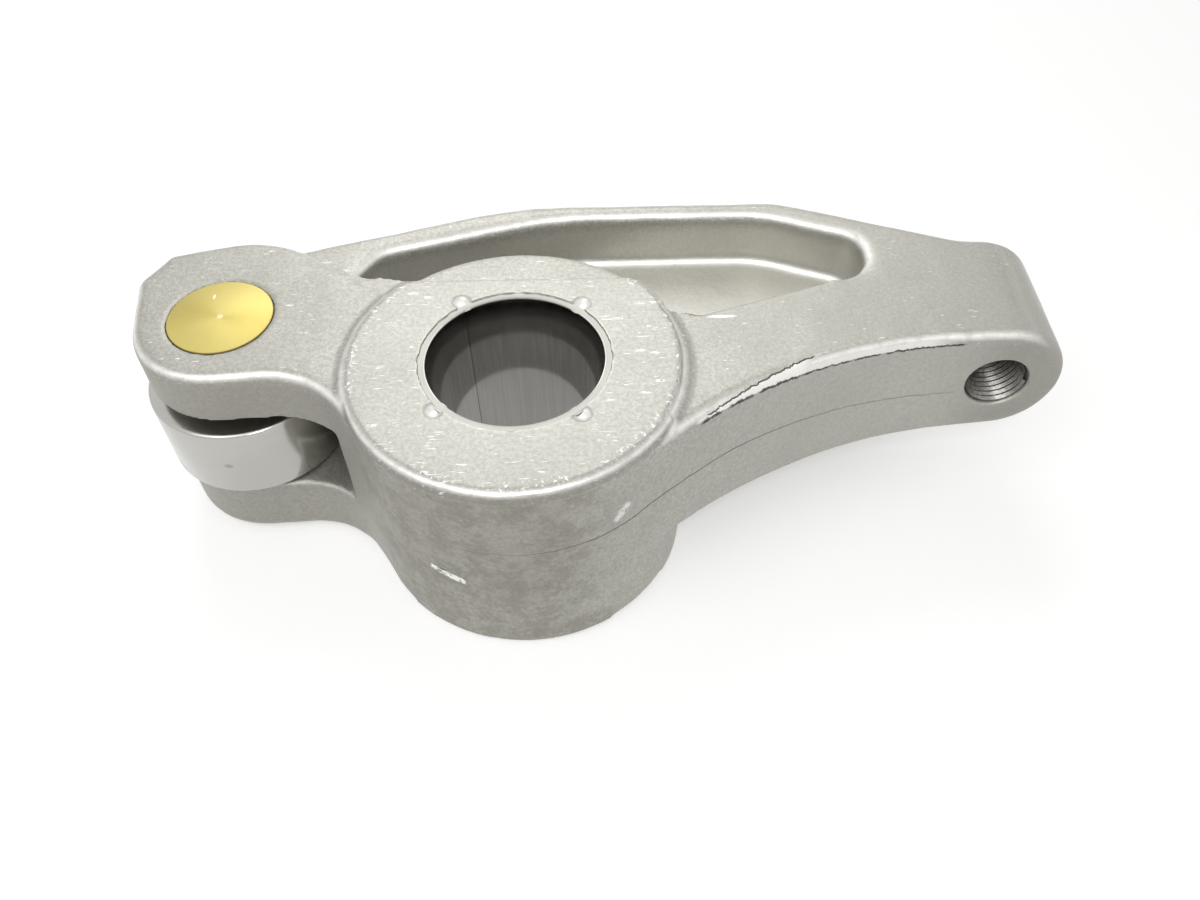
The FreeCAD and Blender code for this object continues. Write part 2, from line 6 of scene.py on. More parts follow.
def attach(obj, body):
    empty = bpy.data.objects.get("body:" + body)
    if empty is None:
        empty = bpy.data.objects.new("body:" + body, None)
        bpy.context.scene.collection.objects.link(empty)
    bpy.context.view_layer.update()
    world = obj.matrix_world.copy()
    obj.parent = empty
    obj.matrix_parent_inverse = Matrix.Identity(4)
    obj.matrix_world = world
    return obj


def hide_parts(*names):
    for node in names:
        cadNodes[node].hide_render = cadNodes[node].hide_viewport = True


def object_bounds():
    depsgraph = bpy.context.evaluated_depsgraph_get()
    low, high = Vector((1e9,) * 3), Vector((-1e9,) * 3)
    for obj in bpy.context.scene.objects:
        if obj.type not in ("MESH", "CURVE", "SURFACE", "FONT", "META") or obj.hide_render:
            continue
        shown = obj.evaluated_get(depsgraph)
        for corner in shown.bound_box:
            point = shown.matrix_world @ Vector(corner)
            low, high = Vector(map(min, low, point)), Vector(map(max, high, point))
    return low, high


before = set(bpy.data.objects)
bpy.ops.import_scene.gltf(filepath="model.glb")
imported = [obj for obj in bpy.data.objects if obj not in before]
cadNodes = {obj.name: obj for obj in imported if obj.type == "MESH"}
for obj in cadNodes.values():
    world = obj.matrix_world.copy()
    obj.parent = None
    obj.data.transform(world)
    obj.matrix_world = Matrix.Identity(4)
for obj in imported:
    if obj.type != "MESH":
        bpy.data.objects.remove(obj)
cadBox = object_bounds()
mm = 0.001
print("frame loaded:", ", ".join(sorted(cadNodes)))


# Small helpers

def deselectAll():
    if bpy.context.object and bpy.context.object.mode != "OBJECT":
        bpy.ops.object.mode_set(mode="OBJECT")
    bpy.ops.object.select_all(action="DESELECT")


def takeUp(piece):
    deselectAll()
    piece.select_set(True)
    bpy.context.view_layer.objects.active = piece


def settle(piece):  # its place goes into the mesh, the object stays at the origin
    takeUp(piece)
    bpy.ops.object.transform_apply(location=True, rotation=True, scale=True)


def runModifier(piece, kind, **settings):
    takeUp(piece)
    modifier = piece.modifiers.new(kind.title(), kind)
    for name, value in settings.items():
        setattr(modifier, name, value)
    bpy.ops.object.modifier_apply(modifier=modifier.name)


def pickFaces(piece, test):
    bpy.ops.mesh.select_all(action="DESELECT")
    bpy.ops.object.mode_set(mode="OBJECT")
    for face in piece.data.polygons:
        face.select = test(face)
    bpy.ops.object.mode_set(mode="EDIT")


def pickEdges(piece, test):
    bpy.ops.mesh.select_mode(type="EDGE")
    bpy.ops.mesh.select_all(action="DESELECT")
    bpy.ops.object.mode_set(mode="OBJECT")
    corners = piece.data.vertices
    for edge in piece.data.edges:
        edge.select = test(*(corners[i].co for i in edge.vertices))
    bpy.ops.object.mode_set(mode="EDIT")


def finishPiece(piece, body, slot, material, *replaced):
    takeUp(piece)
    bpy.ops.object.shade_smooth_by_angle(angle=math.radians(35))
    piece.data.materials.clear()
    piece.data.materials.append(material)
    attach(piece, body)
    if replaced:
        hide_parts(*replaced)
    print("piece:", piece.name, len(piece.data.polygons), "faces")


# One small graph language for all the finishes

class Finish:
    def __init__(self, name, metallic):
        self.material = bpy.data.materials.new(name)
        self.material.use_nodes = True
        self.tree = self.material.node_tree
        self.shader = self.tree.nodes["Principled BSDF"]
        self.shader.inputs["Metallic"].default_value = metallic
        place = self.tree.nodes.new("ShaderNodeTexCoord").outputs["Object"]
        self.place = self.vector("SCALE", place, scale=1 / mm)  # on the piece, in millimetres
        apart = self.tree.nodes.new("ShaderNodeSeparateXYZ")
        self.tree.links.new(self.place, apart.inputs[0])
        self.x, self.y, self.z = apart.outputs

    def feed(self, socket, value):
        if isinstance(value, bpy.types.NodeSocket):
            self.tree.links.new(value, socket)
        else:
            socket.default_value = value

    def math(self, operation, *values):
        made = self.tree.nodes.new("ShaderNodeMath")
        made.operation = operation
        for socket, value in zip(made.inputs, values):
            self.feed(socket, value)
        return made.outputs[0]

    def plus(self, a, b):
        return self.math("ADD", a, b)

    def minus(self, a, b):
        return self.math("SUBTRACT", a, b)

    def times(self, a, b):
        return self.math("MULTIPLY", a, b)

    def vector(self, operation, a, b=None, scale=None):
        made = self.tree.nodes.new("ShaderNodeVectorMath")
        made.operation = operation
        self.feed(made.inputs[0], a)
        if b is not None:
            self.feed(made.inputs[1], b)
        if scale is not None:
            self.feed(made.inputs["Scale"], scale)
        return made.outputs["Value" if operation in ("LENGTH", "DOT_PRODUCT") else "Vector"]

    def offAxis(self, centre):  # the way from an upright axis, level
        return self.vector("MULTIPLY", self.vector("SUBTRACT", self.place, (*centre, 0)), (1, 1, 0))

    def fromAxis(self, centre):
        return self.vector("LENGTH", self.offAxis(centre))

    def bearing(self, centre):  # degrees round an upright axis
        ahead, aside = self.minus(self.x, centre[0]), self.minus(self.y, centre[1])
        return self.times(self.math("ARCTAN2", aside, ahead), math.degrees(1))

    def onLine(self, value):  # a place for a pattern that changes along one measure only
        made = self.tree.nodes.new("ShaderNodeCombineXYZ")
        self.tree.links.new(value, made.inputs[0])
        return made.outputs[0]

    def mapped(self, stretch, turn=0.0):
        made = self.tree.nodes.new("ShaderNodeMapping")
        self.feed(made.inputs["Vector"], self.place)
        made.inputs["Scale"].default_value = stretch
        made.inputs["Rotation"].default_value = (0, 0, math.radians(turn))
        return made.outputs[0]

    def cloud(self, size, detail=3.0, rough=0.55, place=None):  # size of its blots in millimetres
        made = self.tree.nodes.new("ShaderNodeTexNoise")
        self.feed(made.inputs["Vector"], place or self.place)
        made.inputs["Scale"].default_value = 1.0 / size
        made.inputs["Detail"].default_value = detail
        made.inputs["Roughness"].default_value = rough
        return made.outputs["Fac"]

    def wander(self, cloud, spread):  # a cloud as a shift to both sides of nought
        return self.times(self.minus(cloud, 0.5), spread)

    def ramp(self, value, low, high, atLow=0.0, atHigh=1.0, smooth=True):
        made = self.tree.nodes.new("ShaderNodeMapRange")
        made.interpolation_type = "SMOOTHSTEP" if smooth else "LINEAR"
        self.feed(made.inputs["Value"], value)
        for name, number in zip(("From Min", "From Max", "To Min", "To Max"), (low, high, atLow, atHigh)):
            self.feed(made.inputs[name], number)
        return made.outputs[0]

    def band(self, value, middle, half, soft):  # 1 within half of middle, 0 past its soft edge
        off = self.math("ABSOLUTE", self.minus(value, middle))
        return self.ramp(off, half, half + soft, 1.0, 0.0)

    def both(self, *masks):
        made = masks[0]
        for mask in masks[1:]:
            made = self.times(made, mask)
        return made

    def most(self, *masks):
        made = masks[0]
        for mask in masks[1:]:
            made = self.math("MAXIMUM", made, mask)
        return made

    def spot(self, place, half, soft, stretch=(1, 1, 1)):  # 1 within half of a place, 0 past its soft edge
        away = self.vector("MULTIPLY", self.vector("SUBTRACT", self.place, place), stretch)
        return self.ramp(self.vector("LENGTH", away), half, half + soft, 1.0, 0.0)

    def painted(self, name):  # a value kept on the piece's own points
        made = self.tree.nodes.new("ShaderNodeAttribute")
        made.attribute_name = name
        return made.outputs["Fac"]

    def blend(self, amount, low, high):
        made = self.tree.nodes.new("ShaderNodeMix")
        made.data_type = "RGBA"
        self.feed(made.inputs[0], amount)
        for socket, colour in zip((made.inputs[6], made.inputs[7]), (low, high)):
            self.feed(socket, (*colour, 1.0) if isinstance(colour, tuple) else colour)
        return made.outputs[2]

    def tint(self, tone, mask, share, colour):
        return self.blend(self.times(mask, share), tone, colour)

    def relief(self, height, depth, under=None):  # depth in millimetres
        made = self.tree.nodes.new("ShaderNodeBump")
        made.inputs["Distance"].default_value = depth * mm
        made.inputs["Strength"].default_value = 1.0
        self.feed(made.inputs["Height"], height)
        if under is not None:
            self.feed(made.inputs["Normal"], under)
        return made.outputs[0]

    def dress(self, colour, roughness, normal=None):
        self.feed(self.shader.inputs["Base Color"], colour)
        self.feed(self.shader.inputs["Roughness"], roughness)
        if normal is not None:
            self.feed(self.shader.inputs["Normal"], normal)
        return self.material


# The picture: camera, floor and light

shot = {"lens": 30.56, "filmWidth": 36.0, "place": (17.713, -154.469, 180.867), "down": 50.02, "roll": -1.089}
lampLook = {
    "sky": 0.45,
    "skyColour": (1.0, 0.995, 0.985, 1),
    "floorSize": 6.0,  # metres
    "floorColour": 0.88,
    "floorGlow": 0.33,
    "key": {"place": (-330, -260, 620), "aim": (20, 0, 0), "size": 420, "power": 0.95},
    "back": {"place": (-60, 560, 560), "aim": (20, 0, 0), "size": 460, "power": 1.4},
    "front": {"place": (20, -250, 330), "aim": (10, 0, 0), "size": 80, "power": 0.42},
}

camera = bpy.data.objects.new("photoCamera", bpy.data.cameras.new("photoCamera"))
bpy.context.scene.collection.objects.link(camera)
camera.data.lens = shot["lens"]
camera.data.sensor_width = shot["filmWidth"]
camera.data.clip_start = 0.01
camera.matrix_world = (
    Matrix.Translation(Vector(shot["place"]) * mm)
    @ Matrix.Rotation(math.radians(90 - shot["down"]), 4, "X")
    @ Matrix.Rotation(math.radians(shot["roll"]), 4, "Z")
)
bpy.context.scene.camera = camera
bpy.context.scene.view_settings.view_transform = "Standard"

world = bpy.data.worlds.new("studio")
world.use_nodes = True
bpy.context.scene.world = world
skyNodes, skyLinks = world.node_tree.nodes, world.node_tree.links
skyShade = skyNodes["Background"]
skyShade.inputs["Color"].default_value = lampLook["skyColour"]


# One level for the light itself, and one for what the eye, metal and glass see
def seenLevel(nodes, links, unseen, seen):
    rays = nodes.new("ShaderNodeLightPath")
    total = rays.outputs["Is Camera Ray"]
    for kind in ("Is Glossy Ray", "Is Transmission Ray"):
        added = nodes.new("ShaderNodeMath")
        added.operation = "MAXIMUM"
        links.new(total, added.inputs[0])
        links.new(rays.outputs[kind], added.inputs[1])
        total = added.outputs[0]
    level = nodes.new("ShaderNodeMapRange")
    level.inputs["To Min"].default_value = unseen
    level.inputs["To Max"].default_value = seen
    links.new(total, level.inputs["Value"])
    return level.outputs[0]


skyLinks.new(seenLevel(skyNodes, skyLinks, lampLook["sky"], 1.0), skyShade.inputs["Strength"])

deselectAll()
floorLevel = cadBox[0][2]
bpy.ops.mesh.primitive_plane_add(size=lampLook["floorSize"], location=(0, 0, floorLevel))
floor = bpy.context.object
floor.name = "studioFloor"
settle(floor)
floorFinish = bpy.data.materials.new("paleFloor")
floorFinish.use_nodes = True
floorNodes, floorLinks = floorFinish.node_tree.nodes, floorFinish.node_tree.links
floorNodes.remove(floorNodes["Principled BSDF"])
matt = floorNodes.new("ShaderNodeBsdfDiffuse")
matt.inputs["Color"].default_value = (lampLook["floorColour"],) * 3 + (1,)
glow = floorNodes.new("ShaderNodeEmission")
floorLinks.new(seenLevel(floorNodes, floorLinks, 0.0, lampLook["floorGlow"]), glow.inputs["Strength"])
summed = floorNodes.new("ShaderNodeAddShader")
floorLinks.new(matt.outputs[0], summed.inputs[0])
floorLinks.new(glow.outputs[0], summed.inputs[1])
floorLinks.new(summed.outputs[0], floorNodes["Material Output"].inputs["Surface"])
floor.data.materials.append(floorFinish)

for lampName in ("key", "back", "front"):
    look = lampLook[lampName]
    lampData = bpy.data.lights.new(lampName + "Softbox", "AREA")
    lampData.shape, lampData.size = "SQUARE", look["size"] * mm
    lampData.energy = look["power"]
    lamp = bpy.data.objects.new(lampName + "Softbox", lampData)
    bpy.context.scene.collection.objects.link(lamp)
    lamp.location = Vector(look["place"]) * mm
    lamp.rotation_euler = (Vector(look["aim"]) * mm - lamp.location).to_track_quat("-Z", "Y").to_euler()
print("picture set")


# The forging: the CAD body's skin drawn over again, with the blends and marks of a forging

shaftAxis = (0, 0)
pinAxis = (-66.6, 15.8)

forgingLook = {
    "voxel": 0.5,
    "faceLimit": 190000,
    "evenPasses": 5,  # smoothing of the whole skin
    "blendPasses": 85,  # more smoothing where walls meet
    "blendReach": 4.5,
    "hubRadius": 37.2,
    "hubFace": 27.3,  # past this height the hub's ends are machined
    "boreEdge": 21.5,
    "parting": 8.0,  # height of the line where the dies met
    "armTop": 26.0,
    "armArc": (101.99, -97.3, 103.0),  # centre and radius of the arm's hollow underside, in plan
    "rimEdge": [(-38.2, 30.4), (-33.2, 38.3), (7, 50.3), (58.2, 50.3), (80.6, 41.3), (80.6, 32), (77, 27.2)],
    "rimReach": 5.0,
    "rimPast": 25,
    "rimOffShaft": 40,
    "frontEdge": [(38, 13.8), (41, 14.8), (77, 27.2)],
    "frontZone": ((38, 80), (12, 30)),  # in x and in y
    "frontReach": 2.0,
    "frontShare": 0.35,
    "armFront": (-58, -30),  # bearings from the shaft
    "armUnder": (-40, 60),
    "forkFront": (150, 225),
    "unevenness": 0.10,
}
screwLook = {"x": 108.8, "z": 11.0, "front": 5.7, "back": 38.9, "major": 7.05, "mouth": 0.5, "flare": 0.8}
lapLook = {  # the folded skin along the arm's hollow edge
    "level": 23.4,
    "near": 1.5,
    "taper": 0.21,
    "far": 126,  # bearing from the hollow's centre at which the lap is narrowest
    "start": 92,
    "span": (37, 106),  # in x
    "frontOf": 9,  # in y
    "lowest": 21,
    "reach": (-1.5, 3.5),  # out of the arm's underside wall
    "widest": 4.6,
    "thickness": 0.28,
}
gougeLook = {  # in the hub's front
    "span": (-121.5, -108),
    "bearing": -115,
    "slope": 0.13,
    "height": -3.2,
    "half": 0.9,
    "depth": 0.4,
    "lit": -3.9,
    "shade": -2.8,
}
wearAndSheenLook = {
    "rise": 47,  # the skin that faces up by this many degrees, towards the front lamp, gets the most rubbed wear and painted highlight
    "spread": 30,
    "bossStart": 100,
    "lowest": 20.5,
    "pocketBend": (8.5, 17),  # heights of the bend along the pocket's floor
    "bendPast": 20,
    "bendShare": 0.75,
}


def between(value, limits):
    return limits[0] < value < limits[1]


def armOffset(x, y):  # distance out of the arm's underside wall
    cx, cy, radius = forgingLook["armArc"]
    return math.hypot(x - cx, y - cy) - radius


def fromLine(x, y, corners):  # distance to a line of corners, in plan
    here, nearest = Vector((x, y)), 1e9
    line = [Vector(corner) for corner in corners]
    for start, end in zip(line, line[1:]):
        run = end - start
        part = min(1.0, max(0.0, (here - start).dot(run) / run.length_squared))
        nearest = min(nearest, (here - start - part * run).length)
    return nearest


def creaseWeight(x, y, z):
    look = forgingLook
    fromShaft, bearing = math.hypot(x, y), math.degrees(math.atan2(y, x))
    halfArm = look["armTop"] - look["parting"]
    fromParting = abs(z - look["parting"])
    onRim = y > look["rimPast"] and fromShaft > look["rimOffShaft"]
    if onRim and fromParting > halfArm - look["rimReach"]:
        return max(0.0, 1 - fromLine(x, y, look["rimEdge"]) / look["rimReach"]) ** 0.5
    zoneX, zoneY = look["frontZone"]
    if between(x, zoneX) and between(y, zoneY) and fromParting > halfArm - 3:
        return look["frontShare"] * max(0.0, 1 - fromLine(x, y, look["frontEdge"]) / look["frontReach"])
    nearWall = max(0.0, 1 - abs(fromShaft - look["hubRadius"]) / look["blendReach"])
    armFront = between(bearing, look["armFront"]) and z < look["armTop"] - 4
    armUnder = between(bearing, look["armUnder"]) and abs(z - look["parting"] + halfArm) < look["blendReach"]
    forkFront = between(bearing % 360, look["forkFront"]) and z < look["armTop"] - 2
    return nearWall if armFront or armUnder or forkFront else 0.0


def makeForging():
    forging = cadNodes["rocker_body"].copy()
    forging.data = cadNodes["rocker_body"].data.copy()
    for key in list(forging.keys()):
        del forging[key]
    forging.name = forging.data.name = "rockerForging"
    forging.parent = None
    bpy.context.scene.collection.objects.link(forging)
    takeUp(forging)
    bpy.ops.object.mode_set(mode="EDIT")
    bpy.ops.mesh.select_all(action="SELECT")
    bpy.ops.mesh.remove_doubles(threshold=0.001 * mm)
    bpy.ops.object.mode_set(mode="OBJECT")
    runModifier(forging, "REMESH", mode="VOXEL", voxel_size=forgingLook["voxel"] * mm, adaptivity=0.0)
    runModifier(forging, "SMOOTH", factor=0.5, iterations=forgingLook["evenPasses"])
    creases = forging.vertex_groups.new(name="creases")
    for vertex in forging.data.vertices:
        weight = creaseWeight(*(vertex.co / mm))
        if weight > 0:
            creases.add([vertex.index], min(1.0, 1.6 * weight), "REPLACE")
    runModifier(forging, "SMOOTH", factor=0.5, iterations=forgingLook["blendPasses"], vertex_group="creases")
    return forging


def lapHeight(x, y, z):
    offset = armOffset(x, y)
    nearWall = between(offset, lapLook["reach"]) and between(x, lapLook["span"])
    if not (nearWall and z > lapLook["lowest"] and y < lapLook["frontOf"]):
        return 0.0
    cx, cy, radius = forgingLook["armArc"]
    along = math.degrees(math.atan2(y - cy, x - cx))
    ragged = 0.5 * noise.noise(Vector((along * 1.3, 0, 0))) + 0.25 * noise.noise(Vector((along * 4, 5, 0)))
    girth = offset + z - lapLook["level"]
    upper = lapLook["near"] + (lapLook["far"] - along) * lapLook["taper"] + ragged
    inLap = along > lapLook["start"] and 0.3 - ragged < girth < min(upper, lapLook["widest"])
    return lapLook["thickness"] if inLap else 0.0


def proudOfSkin(x, y, z):  # how far a point stands off the smooth forging, in millimetres
    look = forgingLook
    r, bearing = math.hypot(x, y), math.degrees(math.atan2(y, x))
    out = 0.0
    face = look["hubFace"]
    machined = (z > face and r < look["hubRadius"] + 0.8) or z < -face or r < look["boreEdge"]
    if not machined:
        coarse = noise.noise(Vector((x, y, z)) / 9.0)
        fine = noise.noise(Vector((x, y, z)) / 3.5 + Vector((7, 1, 3)))
        out += look["unevenness"] * (coarse + 0.5 * fine)
    out += lapHeight(x, y, z)
    if abs(r - look["hubRadius"]) < 1.5 and between(bearing, gougeLook["span"]):
        rise = z + gougeLook["slope"] * (bearing - gougeLook["bearing"]) - gougeLook["height"]
        out -= gougeLook["depth"] * max(0.0, 1 - abs(rise) / gougeLook["half"])
    return out


def openScrewHole(x, y, z):  # out to the thread's root, with a flared mouth at each end
    look = screwLook
    depth = min(y - look["front"], look["back"] - y)
    across = math.hypot(x - look["x"], z - look["z"])
    wanted = look["major"] + look["flare"] * max(0.0, look["mouth"] - max(0.0, depth))
    if depth < -0.6 or across > wanted + 0.02:
        return None
    grow = wanted / max(across, 0.5)
    return Vector((look["x"] + (x - look["x"]) * grow, y, look["z"] + (z - look["z"]) * grow)) * mm


def markForging(mesh):
    normals = [vertex.normal.copy() for vertex in mesh.vertices]
    for vertex, normal in zip(mesh.vertices, normals):
        proud = proudOfSkin(*(vertex.co / mm))
        if proud:
            vertex.co += normal * proud * mm
        opened = openScrewHole(*(vertex.co / mm))
        if opened:
            vertex.co = opened


def keepInBox(mesh):  # the unevenness goes no further out than the CAD part
    low, high = (Vector(corner) for corner in cadBox)
    for vertex in mesh.vertices:
        vertex.co = [min(max(value, least), most) for value, least, most in zip(vertex.co, low, high)]


# Rubbed wear on the edges mixed with a painted highlight: the skin that faces the front lamp is painted
# bright
def wearAndSheenLevel(place, normal):
    look = wearAndSheenLook
    x, y, z = place
    rise = math.degrees(math.asin(max(-1.0, min(1.0, normal.z))))
    level = max(0.0, 1 - abs(rise - look["rise"]) / look["spread"]) if normal.y < 0.5 else 0.0
    if x > look["bossStart"]:  # it fades out round the boss's end
        level *= min(1.0, max(0.0, 1.3 - 3 * normal.x))
    if z < look["lowest"]:  # lower down only the bend along the pocket's floor gets a painted highlight nearly as bright
        level *= look["bendShare"] if between(z, look["pocketBend"]) and y > look["bendPast"] else 0.0
    return level


def paintForging(mesh):  # how bright each point is painted, as rubbed wear mixed with a painted highlight, and how upright the skin stands there, which sets the painted shade on the sides
    rubbedSheen = [wearAndSheenLevel(vertex.co / mm, vertex.normal) for vertex in mesh.vertices]
    upright = [max(0.0, 1 - abs(vertex.normal.z) / 0.6) for vertex in mesh.vertices]
    for name, values in (("rubbedSheen", rubbedSheen), ("upright", upright)):
        mesh.attributes.new(name, "FLOAT", "POINT").data.foreach_set("value", values)


forging = makeForging()
print("forging drawn over:", len(forging.data.vertices), "points")
markForging(forging.data)
triangles = 2 * len(forging.data.polygons)
if triangles > forgingLook["faceLimit"]:
    runModifier(forging, "DECIMATE", ratio=forgingLook["faceLimit"] / triangles)
keepInBox(forging.data)
paintForging(forging.data)
print("forging marked and painted")

stakeLook = {
    "circle": 20.0,
    "height": 27.42,
    "turns": (48.9, 125.6, 223.1, 310.5),
    "size": (1.1, 1.8, 0.16),
    "markCircle": 21.9,
    "markRadius": 1.5,
}

steelLook = {
    "grain": ((0.37, 0.365, 0.33), (0.52, 0.512, 0.47)),  # dark and light
    "even": (0.445, 0.4385, 0.40),
    "smudge": (0.38, 0.37, 0.33),
    # scale is the colour of the painted shade on the upright sides
    "scale": (0.26, 0.25, 0.215),
    "ends": (0.27, 0.265, 0.24),
    "stain": (0.15, 0.14, 0.105),
    "stainPlace": (14.0, -34.5, -25.0),
    "machined": ((0.32, 0.315, 0.289), (0.40, 0.393, 0.361)),
    # the colour of the painted light in the pocket
    "pocket": (0.66, 0.65, 0.60),
    # the colour of the painted shade at the hub's step
    "step": (0.16, 0.155, 0.14),
    "seam": (0.06, 0.055, 0.05),
    "bright": (0.92, 0.915, 0.885),
    "dark": (0.05, 0.045, 0.04),
    "scratch": (45.4, 13.5, 26),
    # the place of the painted shade for a small pit
    "pitShade": (39.6, 15.2, 25.6),
    "dent": [((21.2, -30.5, 11.2), 0.4, 1.1), ((22.2, -29.9, 12.4), 0.7, 1.2),  # place, half width, soft edge
             ((23.0, -29.2, 13.6), 0.4, 1.2)],
    "knocks": [(-23.8, 20.8, 28), (-20.3, 19.4, 28), (27.2, 16.1, 28), (22.2, 11.3, 28), (26.6, 1.2, 28),
               (29.8, 0.5, 28), (30.4, -7.8, 28), (27.2, -11.1, 28), (-35.7, 4.4, 28), (-27.9, -18.7, 28),
               (-49.4, 39.2, 26), (-45.8, 34.7, 26), (-41.1, 31.6, 26), (-46.8, 9.9, 26)],
}


class ForgedFinish(Finish):
    def __init__(self):
        super().__init__("forgedSteel", 0.85)
        self.fromBore, self.turn = self.fromAxis(shaftAxis), self.bearing(shaftAxis)
        self.grain, self.smudge = self.cloud(0.4, 4.0, 0.6), self.cloud(22.0, 2.0)
        onHub = self.ramp(self.fromBore, 36.6, 37.0, 1.0, 0.0)
        self.machined = self.both(self.ramp(self.z, 27.2, 27.7), onHub)
        self.upperSide = self.ramp(self.z, 22, 24)


def stainsOn(steel):  # brown on the hub's front
    side = steel.both(steel.band(steel.fromBore, forgingLook["hubRadius"], 0.9, 0.8),
                      steel.ramp(steel.y, -20, -12, 1.0, 0.0), steel.ramp(steel.z, 24, 26, 1.0, 0.0))
    broad, fine = steel.cloud(7.0, 4.0, 0.65), steel.cloud(1.5, 5.0, 0.7)
    mottle = steel.plus(steel.times(broad, 0.6), steel.times(fine, 0.4))
    wide = steel.both(side, steel.ramp(mottle, 0.42, 0.58), steel.ramp(steel.turn, -75, -50, 1.0, 0.2))
    low = steel.spot(steelLook["stainPlace"], 3.5, 4.0, (0.6, 1, 1))
    low = steel.both(low, steel.ramp(mottle, 0.38, 0.5))
    return steel.most(wide, low)


def greyOf(steel):  # the tone of each part of the skin, before its scratches, with painted shade on the upright sides and at the hub's step and painted light in the pocket
    look = steelLook
    speck = steel.plus(steel.times(steel.grain, 0.45), steel.times(steel.cloud(0.9, 4.0, 0.7), 0.55))
    speck = steel.ramp(speck, 0.40, 0.60)
    tone = steel.blend(speck, *look["grain"])
    tone = steel.blend(steel.ramp(steel.x, 30, 65, 0.0, 0.5), tone, look["even"])
    tone = steel.tint(tone, steel.ramp(steel.smudge, 0.4, 0.7), 0.2, look["smudge"])
    # painted shade: the upright sides of the hub and boss are darkened, most on their front
    hubAndBoss = steel.most(steel.ramp(steel.x, 4, 30, 1.0, 0.0), steel.ramp(steel.x, 96, 112))
    scale = steel.both(steel.painted("upright"), hubAndBoss,
                       steel.ramp(steel.y, 8, 22, 1.0, 0.2), steel.ramp(steel.z, -16, -4, 0.7, 1.0))
    tone = steel.tint(tone, scale, 0.55, look["scale"])
    ends = steel.most(steel.ramp(steel.x, -46, -38, 1.0, 0.0), steel.ramp(steel.x, 85, 105, 0.0, 0.6))
    tone = steel.tint(tone, ends, 0.22, look["ends"])
    tone = steel.tint(tone, stainsOn(steel), 0.36, look["stain"])
    tone = steel.tint(tone, steel.machined, 0.6, steel.blend(speck, *look["machined"]))
    # painted light: the pocket's walls and floor are lightened
    pocket = steel.both(steel.ramp(steel.y, 14, 22),
                        steel.ramp(steel.z, 20, 24, 1.0, 0.0), steel.ramp(steel.z, 6, 8))
    tone = steel.tint(tone, pocket, 0.5, look["pocket"])
    # painted shade: a dark band at the foot of the hub's step
    step = steel.both(steel.band(steel.fromBore, 37.9, 0.3, 1.1), steel.ramp(steel.z, 24.8, 25.4))
    return steel.tint(tone, step, 0.45, look["step"])


def partingSeam(steel):
    height = steel.plus(steel.z, steel.wander(steel.cloud(6.0), 0.9))
    return steel.both(
        steel.band(height, forgingLook["parting"], 0.07, 0.16), steel.ramp(steel.y, 5, 8, 1.0, 0.0),
        steel.ramp(steel.x, -18, 24, 0.12, 1.0), steel.ramp(steel.x, 96, 101, 1.0, 0.0))


def lapMarks(steel):  # the lap's two dark cracks, its bright flakes, and a painted highlight along the arm's edge beside them
    cx, cy, radius = forgingLook["armArc"]
    offset = steel.minus(steel.fromAxis((cx, cy)), radius)
    girth = steel.plus(offset, steel.minus(steel.z, lapLook["level"]))
    along = steel.bearing((cx, cy))
    line = steel.onLine(along)
    waver = steel.wander(steel.cloud(1.1, 5.0, 0.7, line), 2.4)
    waver = steel.plus(waver, steel.wander(steel.cloud(0.3, 3.0, 0.7, line), 0.9))
    width = steel.plus(steel.times(steel.minus(lapLook["far"], along), lapLook["taper"]), lapLook["near"])
    fromUpper = steel.minus(girth, steel.plus(width, waver))
    fromLower = steel.minus(girth, steel.times(waver, -0.8))
    upperCrack = steel.both(steel.band(fromUpper, 0.0, 0.10, 0.18),
                            steel.band(along, 119.0, 7.5, 0.5), steel.ramp(steel.z, 22.0, 23.0))
    crackWidth = steel.times(steel.ramp(along, 108, 120, 0.75, 1.5),
                             steel.ramp(steel.cloud(0.7, 2.0, 0.5, line), 0.35, 0.65, 0.7, 1.4))
    lowerCrack = steel.both(
        steel.band(steel.math("DIVIDE", fromLower, crackWidth), 0.1, 0.14, 0.3),
        steel.band(along, 110.0, 17.5, 1.0), steel.ramp(steel.z, 20.0, 21.0),
        steel.ramp(steel.cloud(2.2, 2.0, 0.5, line), 0.38, 0.48))
    pastLower, onTop = steel.ramp(fromLower, 0.2, 0.5), steel.ramp(steel.z, 21.0, 22.0)
    flakes = steel.both(pastLower, onTop, steel.ramp(fromUpper, -0.3, 0.0, 1.0, 0.0),
                        steel.ramp(along, 109.0, 114.0), steel.ramp(along, 126.0, 128.0, 1.0, 0.0))
    # painted highlight: a bright band along the arm's rounded edge above the lower crack
    sheen = steel.both(pastLower, onTop,
                       steel.ramp(fromLower, 1.6, 3.4, 1.0, 0.0), steel.band(along, 106.0, 9.0, 5.0))
    return steel.most(upperCrack, lowerCrack), steel.most(flakes, steel.times(sheen, 0.8))


def gougeMarks(steel):  # the gouge's bright lip and its shade
    look = gougeLook
    rise = steel.plus(steel.z, steel.times(steel.minus(steel.turn, look["bearing"]), look["slope"]))
    rise = steel.plus(rise, steel.wander(steel.cloud(1.6, 3.0), 1.8))
    span = steel.both(steel.band(steel.turn, -114.8, 5.8, 1.2),
                      steel.band(steel.fromBore, forgingLook["hubRadius"], 1.0, 0.5))
    lip = steel.both(span, steel.band(rise, look["lit"], 0.4, 0.5),
                     steel.ramp(steel.cloud(1.5, 4.0, 0.7), 0.35, 0.5))
    return lip, steel.both(span, steel.band(rise, look["shade"], 0.2, 0.4))


